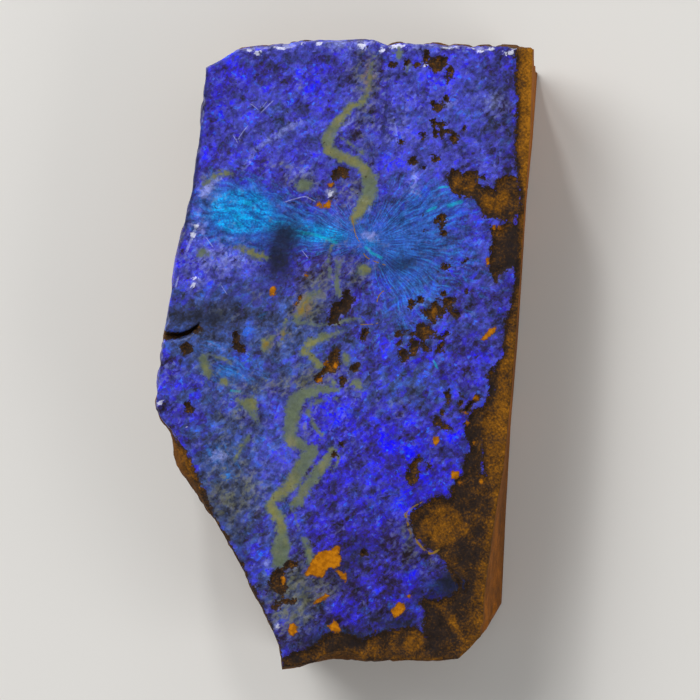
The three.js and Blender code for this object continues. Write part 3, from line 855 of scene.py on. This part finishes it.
# Colours blended along a level: (level, colour)
DEEP_FLECKS = [
    (0.0, tint(38, 27, 34)), (0.22, tint(50, 38, 78)), (0.5, tint(50, 39, 148)), (0.78, tint(48, 35, 210)),
    (1.0, tint(18, 2, 246)),
]
LAVENDER_FLECKS = [
    (0.0, tint(46, 44, 78)), (0.22, tint(54, 56, 126)), (0.5, tint(66, 66, 168)), (0.78, tint(74, 76, 204)),
    (1.0, tint(34, 20, 240)),
]
SEA_FLECKS = [
    (0.0, tint(44, 46, 60)), (0.22, tint(54, 60, 92)), (0.5, tint(58, 74, 132)), (0.78, tint(60, 88, 178)),
    (1.0, tint(40, 98, 226)),
]
FAN_FIBRES = [(0.25, tint(22, 52, 104)), (0.5, tint(42, 92, 178)), (0.75, tint(48, 140, 230))]
FAN_CORE = [(0.28, tint(20, 84, 158)), (0.5, tint(14, 128, 206)), (0.72, tint(4, 178, 244))]
IRON_GRAINS = [
    (0.0, tint(32, 25, 25)), (0.3, tint(48, 34, 24)), (0.5, tint(82, 53, 20)), (0.7, tint(114, 72, 12)),
    (1.0, tint(158, 102, 20)),
]
BEDDING = [(0.3, tint(52, 36, 24)), (0.5, tint(90, 56, 24)), (0.7, tint(126, 80, 30))]
SAWN_IRONSTONE = [(0.25, tint(82, 48, 16)), (0.5, tint(116, 66, 12)), (0.75, tint(150, 86, 12))]


class Shader:
    """Adds nodes to one node tree and links them. Each method gives back the new node's output."""

    def __init__(self, owner):
        self.tree = owner.node_tree
        self.parts = {}

    def add(self, kind, inputs, output=0, **settings):
        node = self.tree.nodes.new(kind)
        for name, value in settings.items():
            setattr(node, name, value)
        for key, value in inputs.items():
            if isinstance(value, bpy.types.NodeSocket):
                self.tree.links.new(value, node.inputs[key])
            else:
                node.inputs[key].default_value = value
        return node.outputs[output]

    def math(self, operation, first, second=0.0, third=0.0):
        return self.add("ShaderNodeMath", {0: first, 1: second, 2: third}, operation=operation)

    def times(self, first, second):
        return self.math("MULTIPLY", first, second)

    def step(self, value, low, high):
        sockets = {"Value": value, "From Min": low, "From Max": high}
        return self.add("ShaderNodeMapRange", sockets, interpolation_type="SMOOTHSTEP")

    def spread(self, value, low, high):
        """A share from 0 to 1 stretched to run from low to high."""
        return self.add("ShaderNodeMapRange", {"Value": value, "To Min": low, "To Max": high})

    def mix(self, share, first, second):
        return self.add("ShaderNodeMix", {0: share, 6: first, 7: second}, 2, data_type="RGBA")

    def noise(self, place, size, detail=2.0, roughness=0.5):
        sockets = {"Vector": place, "Scale": 1 / size, "Detail": detail, "Roughness": roughness}
        return self.add("ShaderNodeTexNoise", sockets)

    def sway(self, value, noise, amount):
        """A value moved up and down by noise about its middle, one half."""
        centred = self.math("SUBTRACT", noise, 0.5)
        return self.math("MULTIPLY_ADD", centred, amount, value)

    def pushed(self, place, size, amount):
        """A place pushed about by noise, each way by its own share."""
        push = self.add("ShaderNodeTexNoise", {"Vector": place, "Scale": 1 / size, "Detail": 2.0}, 1)
        centred = self.add("ShaderNodeVectorMath", {0: push, 1: (0.5, 0.5, 0.5)}, operation="SUBTRACT")
        far = self.add("ShaderNodeVectorMath", {0: centred, 3: amount}, operation="SCALE")
        return self.add("ShaderNodeVectorMath", {0: place, 1: far}, operation="ADD")

    def chances(self, place, size):
        """Three random values for each cell of a broken-up pattern."""
        cell = self.add("ShaderNodeTexVoronoi", {"Vector": place, "Scale": 1 / size}, 1)
        parts = self.add("ShaderNodeSeparateColor", {0: cell}).node
        return parts.outputs[0], parts.outputs[1], parts.outputs[2]

    def ramp(self, value, colours):
        """Colours blended along a value: (place, colour) stops."""
        node = self.add("ShaderNodeValToRGB", {0: value}).node
        elements = node.color_ramp.elements
        elements.remove(elements[1])
        for number, (place, colour) in enumerate(colours):
            element = elements.new(place) if number else elements[0]
            element.position = place
            element.color = colour
        return node.outputs[0]

    def shade(self, colour, strength):
        """A colour made darker or lighter by a strength."""
        return self.add("ShaderNodeVectorMath", {0: colour, 3: strength}, operation="SCALE")

    def scaled(self, place, scale):
        return self.add("ShaderNodeMapping", {"Vector": place, "Scale": scale}, vector_type="POINT")

    def leaning(self, place, turn, scale):
        """A place turned about the upright axis and then scaled, which draws a pattern out at a slant."""
        turned = self.add("ShaderNodeMapping", {"Vector": place, "Rotation": (0, 0, turn)})
        return self.scaled(turned, scale)

    def field(self, name):
        """One of the mesh's fields."""
        group = next(key for key, names in ATTRIBUTES.items() if name in names)
        if group not in self.parts:
            vector = self.add("ShaderNodeAttribute", {}, 1, attribute_name=group)
            self.parts[group] = self.add("ShaderNodeSeparateXYZ", {0: vector}).node
        return self.parts[group].outputs[ATTRIBUTES[group].index(name)]

    def stroke(self, name, waver):
        """How much of a thin line shows: all within its half width, and swayed a little from side to side."""
        across = self.math("ABSOLUTE", self.sway(self.field(name), waver, 1.5))
        return self.times(self.step(across, 1.6, 0.4), self.field(name + "_near"))


# How far the opal's chips lean from the slab's width, in radians
CHIP_LEAN = -0.7


def opal_colour(shader, place):
    """Blue flecks on slate, cyan fan fibres, dark potch, grey haze, pale wisps and thin streaks, with painted
    shade in a hollow and down the left rim, and painted highlights and glints on chips and rims.
    """
    cloud = shader.noise(place, 2.2)
    coarse = shader.noise(place, 0.8)
    bent = shader.pushed(place, 0.5, 0.3)
    medium = shader.noise(shader.leaning(bent, CHIP_LEAN, (0.75, 1.35, 1.0)), 0.3)
    fine = shader.noise(place, 0.11, 2.0, 0.6)
    chips = shader.chances(shader.leaning(bent, CHIP_LEAN, (0.75, 1.35, 1.0)), 0.4)
    flecks = shader.chances(bent, 0.15)
    level = shader.sway(shader.field("glow"), coarse, 1.0)
    level = shader.sway(level, medium, 0.95)
    level = shader.sway(level, chips[0], 0.3)
    level = shader.sway(level, flecks[0], 0.35)
    level = shader.sway(level, fine, 0.5)
    deep = shader.ramp(level, DEEP_FLECKS)
    lavender = shader.ramp(level, LAVENDER_FLECKS)
    sea = shader.ramp(level, SEA_FLECKS)
    lavender_share = shader.sway(shader.sway(shader.field("pale"), cloud, 1.2), chips[1], 0.5)
    colour = shader.mix(shader.step(shader.sway(lavender_share, flecks[1], 0.5), 0.1, 0.9), deep, lavender)
    sea_share = shader.sway(shader.sway(shader.field("teal"), cloud, 0.9), chips[2], 0.6)
    colour = shader.mix(shader.step(sea_share, 0.1, 0.9), colour, sea)
    azure = shader.times(shader.step(flecks[2], 0.9, 0.95), shader.step(level, 0.5, 0.8))
    colour = shader.mix(shader.times(azure, 0.6), colour, tint(44, 112, 236))
    colour = fan_colour(shader, place, colour, fine)
    colour = shader.mix(shader.times(shader.stroke("sweep", medium), 0.55), colour, tint(0, 170, 196))

    grey = shader.mix(shader.step(medium, 0.38, 0.62), tint(70, 80, 102), tint(108, 110, 84))
    golden = shader.step(shader.sway(shader.field("gold"), medium, 0.6), 0.55, 0.9)
    grey = shader.mix(shader.times(golden, 0.8), grey, tint(128, 104, 42))
    haze = shader.sway(shader.sway(shader.field("haze"), medium, 1.3), flecks[0], 0.5)
    colour = shader.mix(shader.times(shader.step(haze, 0.1, 1.0), 0.85), colour, grey)
    # Pale lavender wisps, partly painted highlights
    mist_and_highlight = shader.sway(shader.sway(shader.field("mist_and_highlight"), medium, 0.7), flecks[1], 0.4)
    colour = shader.mix(shader.step(mist_and_highlight, 0.08, 1.2), colour, tint(146, 156, 232))
    # Dark potch, partly painted shade in a hollow and along the rounded left rim
    dark_and_shade = shader.sway(shader.field("dark_and_shade"), medium, 0.5)
    colour = shader.mix(shader.times(shader.step(dark_and_shade, 0.05, 0.9), 0.93), colour, tint(30, 34, 50))
    # Pale fractured opal on fresh chips, partly a painted glint standing in for light on them
    pale_fracture_and_glint = shader.times(shader.field("fresh"), shader.step(shader.noise(place, 0.35, 3.0), 0.42, 0.6))
    colour = shader.mix(shader.times(pale_fracture_and_glint, 0.7), colour, tint(150, 152, 196))
    # Painted glints: white dots standing in for light caught on chips and rims
    painted_glint = shader.sway(shader.sway(shader.field("painted_glint"), fine, 6.0), medium, 8.0)
    painted_glint = shader.step(painted_glint, -0.6, 1.2)
    colour = shader.mix(shader.times(shader.stroke("streak", fine), 0.38), colour, tint(186, 194, 246))
    colour = shader.mix(shader.times(painted_glint, 0.7), colour, tint(228, 230, 246))
    grit = shader.noise(place, 0.8, 4.0, 0.85)
    return shader.shade(colour, shader.spread(grit, -0.1, 2.1))


def fan_colour(shader, place, colour, fine):
    """Cyan and teal fibres that run out from a point: noise drawn long in reach and fine in angle."""
    bend = shader.noise(place, 1.4)
    angle = shader.sway(shader.field("angle"), bend, 0.2)
    reach = shader.field("reach")
    wide = shader.add("ShaderNodeCombineXYZ", {0: shader.times(angle, 28.0), 1: shader.times(reach, 0.05)})
    narrow = shader.add("ShaderNodeCombineXYZ", {0: shader.times(angle, 75.0), 1: shader.times(reach, 0.09)})
    fibre = shader.sway(shader.noise(wide, 1.0, 3.0), shader.noise(narrow, 1.0), 0.35)
    fan = shader.field("fan")
    core = shader.step(fan, 0.7, 1.0)
    fibre = shader.sway(fibre, fine, shader.spread(core, 0.45, 0.75))
    fibres = shader.mix(core, shader.ramp(fibre, FAN_FIBRES), shader.ramp(fibre, FAN_CORE))
    share = shader.step(shader.sway(fan, fibre, 0.9), 0.0, 0.7)
    return shader.mix(shader.times(share, shader.spread(core, 0.72, 0.9)), colour, fibres)


def ironstone_colour(shader, place, inside):
    """Brown ironstone: dark crust at its edges, golden grains inside, layers on the flanks."""
    grain = shader.noise(place, 0.12, 3.0, 0.65)
    blotch = shader.noise(place, 0.7, 3.0)
    sparkle = shader.step(shader.chances(place, 0.1)[0], 0.8, 0.86)
    level = shader.sway(shader.sway(shader.field("gold"), grain, 1.2), blotch, 0.8)
    level = shader.math("MULTIPLY_ADD", sparkle, 0.14, level)
    brown = shader.ramp(level, IRON_GRAINS)
    brown = shader.mix(shader.step(inside, 0.0, 3.0), tint(46, 34, 28), brown)
    layers = shader.noise(shader.scaled(place, (0.35, 0.35, 1.8)), 1.0, 4.0, 0.6)
    bedding = shader.ramp(shader.sway(layers, grain, 0.5), BEDDING)
    saw_marks = shader.noise(shader.scaled(place, (3.0, 0.35, 0.2)), 1.0, 3.0)
    cut = shader.sway(shader.sway(shader.sway(saw_marks, grain, 0.4), blotch, 0.5), sparkle, 0.12)
    cut = shader.ramp(shader.sway(cut, shader.field("gold"), 0.7), SAWN_IRONSTONE)
    bedding = shader.mix(shader.field("sawn"), bedding, cut)
    brown = shader.mix(shader.field("flank"), brown, bedding)
    grit = shader.noise(place, 0.6, 4.0, 0.85)
    return shader.shade(brown, shader.spread(grit, 0.2, 1.8))


def vein_colour(shader, place, inside):
    """Olive potch: golden green in the middle of a vein and grey green at its edges."""
    wash = shader.noise(place, 1.6)
    olive = shader.mix(shader.step(wash, 0.4, 0.62), tint(98, 110, 86), tint(122, 122, 66))
    golden = shader.step(shader.field("gold"), 0.55, 0.9)
    olive = shader.mix(golden, olive, tint(134, 112, 44))
    vein = shader.mix(shader.step(inside, 0.0, 5.0), tint(92, 104, 100), olive)
    grit = shader.noise(place, 0.6, 4.0, 0.8)
    return shader.shade(vein, shader.spread(grit, 0.3, 1.7))


def ochre_colour(shader, place, inside):
    """Bright ochre clay, darker where it thins out at its edges."""
    mottle = shader.noise(place, 0.25, 3.0)
    clay = shader.mix(shader.step(mottle, 0.35, 0.65), tint(158, 94, 0), tint(196, 122, 6))
    return shader.mix(shader.step(inside, -0.5, 2.0), tint(92, 56, 18), clay)


def stone_material():
    """Opal, veins, ironstone and ochre laid over one another by their distances, with grain in the gloss."""
    material = bpy.data.materials.new("opal_on_ironstone")
    material.use_nodes = True
    shader = Shader(material)
    place = shader.scaled(shader.add("ShaderNodeTexCoord", {}, 3), (1 / METRE,) * 3)
    fray = shader.noise(place, 0.13, 3.0, 0.6)
    ragged = shader.noise(place, 0.32)
    crumbs = shader.chances(place, 0.22)
    iron = shader.sway(shader.sway(shader.field("iron"), fray, 9.0), ragged, 8.0)
    iron = shader.math("ADD", shader.sway(iron, crumbs[0], 2.0), 0.8)
    vein = shader.sway(shader.sway(shader.field("vein"), fray, 4.0), ragged, 8.0)
    vein = shader.sway(vein, crumbs[1], 2.5)
    ochre = shader.sway(shader.sway(shader.field("ochre"), fray, 5.0), ragged, 5.0)

    colour = opal_colour(shader, place)
    vein_share = shader.times(shader.step(vein, -1.6, 2.6), 0.92)
    colour = shader.mix(vein_share, colour, vein_colour(shader, place, vein))
    iron_share = shader.step(iron, -0.8, 0.8)
    colour = shader.mix(iron_share, colour, ironstone_colour(shader, place, iron))
    ochre_share = shader.step(ochre, -0.8, 0.6)
    colour = shader.mix(ochre_share, colour, ochre_colour(shader, place, ochre))
    thread_share = shader.times(shader.stroke("thread", fray), shader.step(crumbs[2], 0.35, 0.5))
    colour = shader.mix(thread_share, colour, tint(136, 104, 34))

    dull = shader.math("MAXIMUM", iron_share, ochre_share)
    opal_rough = shader.spread(shader.noise(place, 0.15), 0.3, 0.5)
    rough = shader.math("MULTIPLY_ADD", dull, 0.5, opal_rough)
    rough = shader.times(rough, shader.spread(shader.field("fresh"), 1.0, 0.45))
    stone_grain = shader.noise(place, 0.12, 3.0, 0.6)
    bump_height = shader.times(stone_grain, shader.spread(dull, 0.2, 1.0))
    bump = shader.add("ShaderNodeBump", {"Strength": 0.5, "Distance": 0.00006, "Height": bump_height})
    surface = material.node_tree.nodes["Principled BSDF"]
    surface.inputs["Specular IOR Level"].default_value = 0.18
    surface.inputs["IOR"].default_value = 1.45
    for socket, value in (("Base Color", colour), ("Roughness", rough), ("Normal", bump)):
        material.node_tree.links.new(value, surface.inputs[socket])
    return material


# The stage: a pale floor, soft studio light and the camera
FLOOR_SIZE = 20.0
CAMERA_LENS = 600.0
CAMERA_SENSOR = 36.0
WORLD_HORIZON = 0.62
WORLD_ZENITH = 0.2


def plain_material(name, colour, roughness):
    """A pale painted surface with a faint mottle."""
    material = bpy.data.materials.new(name)
    material.use_nodes = True
    shader = Shader(material)
    place = shader.add("ShaderNodeTexCoord", {}, 3)
    mottle = shader.noise(place, 0.02, 2.0)
    shade = tuple(0.96 * part for part in colour[:3]) + (1.0,)
    surface = material.node_tree.nodes["Principled BSDF"]
    material.node_tree.links.new(shader.mix(mottle, shade, colour), surface.inputs["Base Color"])
    surface.inputs["Roughness"].default_value = roughness
    surface.inputs["Specular IOR Level"].default_value = 0.2
    return material


def lay_floor():
    """One flat square, much larger than the stone, at the height of its back."""
    half = FLOOR_SIZE / 2
    mesh = bpy.data.meshes.new("floor")
    corners = [(-half, -half, 0), (half, -half, 0), (half, half, 0), (-half, half, 0)]
    mesh.from_pydata(corners, [], [(0, 1, 2, 3)])
    floor = bpy.data.objects.new("floor", mesh)
    floor.data.materials.append(plain_material("pale_floor", tint(226, 224, 220), 0.8))
    bpy.context.scene.collection.objects.link(floor)


def add_light(name, toward, distance, size, power):
    """A square lamp that lights the stone from a direction."""
    lamp = bpy.data.lights.new(name, "AREA")
    lamp.size = size
    lamp.energy = power
    light = bpy.data.objects.new(name, lamp)
    direction = np.array(toward) / np.linalg.norm(toward)
    light.location = direction * distance
    light.rotation_euler = light.location.to_track_quat("Z", "Y").to_euler()
    bpy.context.scene.collection.objects.link(light)


def light_studio():
    """A large soft lamp, a weaker one across from it, a small bright one for glints, and a pale surround."""
    add_light("soft_key", (-0.6, 0.55, 0.75), 0.4, 0.22, 1.1)
    add_light("fill", (0.85, -0.45, 0.5), 0.5, 0.3, 0.7)
    add_light("glint", (-0.25, 0.9, 0.45), 0.4, 0.04, 0.45)
    world = bpy.data.worlds.new("studio")
    world.use_nodes = True
    bpy.context.scene.world = world
    shader = Shader(world)
    up = shader.add("ShaderNodeSeparateXYZ", {0: shader.add("ShaderNodeTexCoord", {}, 0)}, 2)
    level = shader.step(up, 0.1, 0.9)
    horizon = (WORLD_HORIZON,) * 3 + (1.0,)
    zenith = (WORLD_ZENITH,) * 3 + (1.0,)
    sky = shader.mix(level, horizon, zenith)
    world.node_tree.links.new(sky, world.node_tree.nodes["Background"].inputs["Color"])
    bpy.context.scene.view_settings.view_transform = "Standard"


def place_camera():
    """A long lens straight above the face, so that the picture's pixels fall on the stone as measured."""
    camera = bpy.data.objects.new("camera", bpy.data.cameras.new("camera"))
    camera.data.lens = CAMERA_LENS
    camera.data.sensor_width = CAMERA_SENSOR
    picture_width = PICTURE_SIZE * PIXEL
    distance = picture_width * CAMERA_LENS / CAMERA_SENSOR
    x, y = (np.array([PICTURE_SIZE, PICTURE_SIZE]) / 2 - PICTURE_MIDDLE) * [1, -1] * PIXEL
    camera.location = np.array([x, y, THICKNESS + distance]) * METRE
    camera.data.clip_start = 0.01
    camera.data.clip_end = 50
    bpy.context.scene.collection.objects.link(camera)
    bpy.context.scene.camera = camera


place_camera()
light_studio()
lay_floor()
stone = build_stone()
stone.data.materials.append(stone_material())
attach(stone, "root")
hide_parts("boulder_opal")
